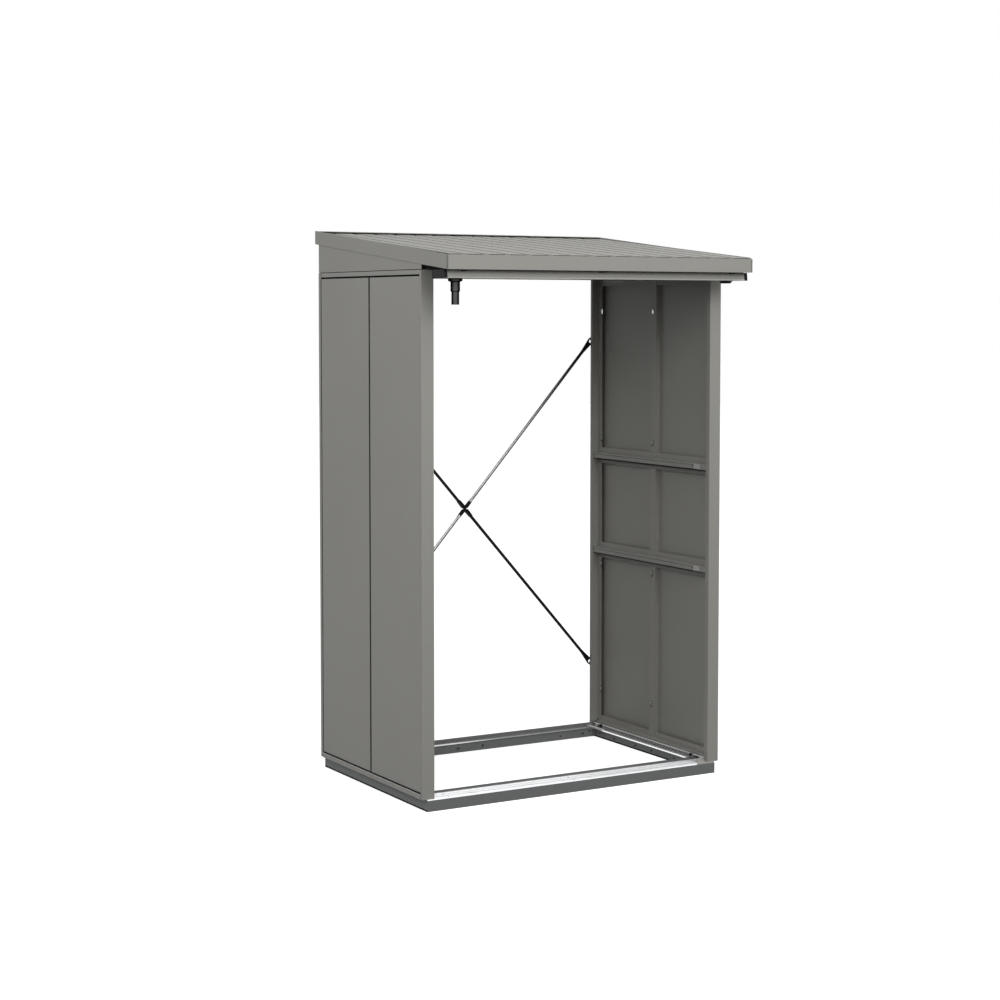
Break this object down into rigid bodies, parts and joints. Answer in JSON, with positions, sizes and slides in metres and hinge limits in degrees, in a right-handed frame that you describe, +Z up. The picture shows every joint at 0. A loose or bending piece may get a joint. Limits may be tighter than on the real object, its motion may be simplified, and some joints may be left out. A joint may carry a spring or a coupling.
{
  "type": "log store",
  "caption": "Sheet-metal log store with closed side walls, open front and back, a lean-to ribbed roof, front gutter, cross brace and base frame.",
  "frame": {"origin": "floor level, under the middle of the roof", "axes": "+X to the right seen from the open front, +Y to the back, +Z up"},
  "size_m": [1.235, 1.014, 1.99],
  "materials": {
    "grey_paint": "satin",
    "base_paint": "satin",
    "bright_sill": "satin",
    "black_plastic": "matte",
    "black_foam": "matte",
    "zinc_rod": "polished",
    "dark_fixings": "satin"
  },
  "bodies": {
    "root": {"base_front_rail": "base_paint", "base_back_rail": "base_paint", "base_left_rail": "base_paint", "base_right_rail": "base_paint", "front_sill": "bright_sill", "foot_bracket": "grey_paint", "front_left_post": "grey_paint", "front_right_post": "grey_paint", "back_left_post": "grey_paint", "back_right_post": "grey_paint", "left_front_panel": "grey_paint", "left_back_panel": "grey_paint", "right_front_panel": "grey_paint", "right_back_panel": "grey_paint", "left_bottom_rail": "grey_paint", "right_bottom_rail": "grey_paint", "left_top_rail": "grey_paint", "right_top_rail": "grey_paint", "left_gable": "grey_paint", "right_gable": "grey_paint", "left_lower_stiffener": "grey_paint", "left_upper_stiffener": "grey_paint", "right_lower_stiffener": "grey_paint", "right_upper_stiffener": "grey_paint", "front_header": "grey_paint", "back_header": "grey_paint", "roof_sheet": "grey_paint", "front_fascia": "grey_paint", "back_trim": "grey_paint", "left_verge": "grey_paint", "right_verge": "grey_paint", "back_seal": "black_foam", "gutter": "grey_paint", "gutter_left_cap": "black_plastic", "gutter_right_cap": "black_plastic", "gutter_spout": "black_plastic", "gutter_blank_outlet": "black_plastic", "gutter_brackets": "black_plastic", "brace_rod_upper_left": "dark_fixings", "brace_rod_upper_right": "zinc_rod", "brace_rod_lower_left": "zinc_rod", "brace_rod_lower_right": "dark_fixings", "brace_centre": "black_plastic", "brace_bolts": "dark_fixings"}
  },
  "joints": []
}
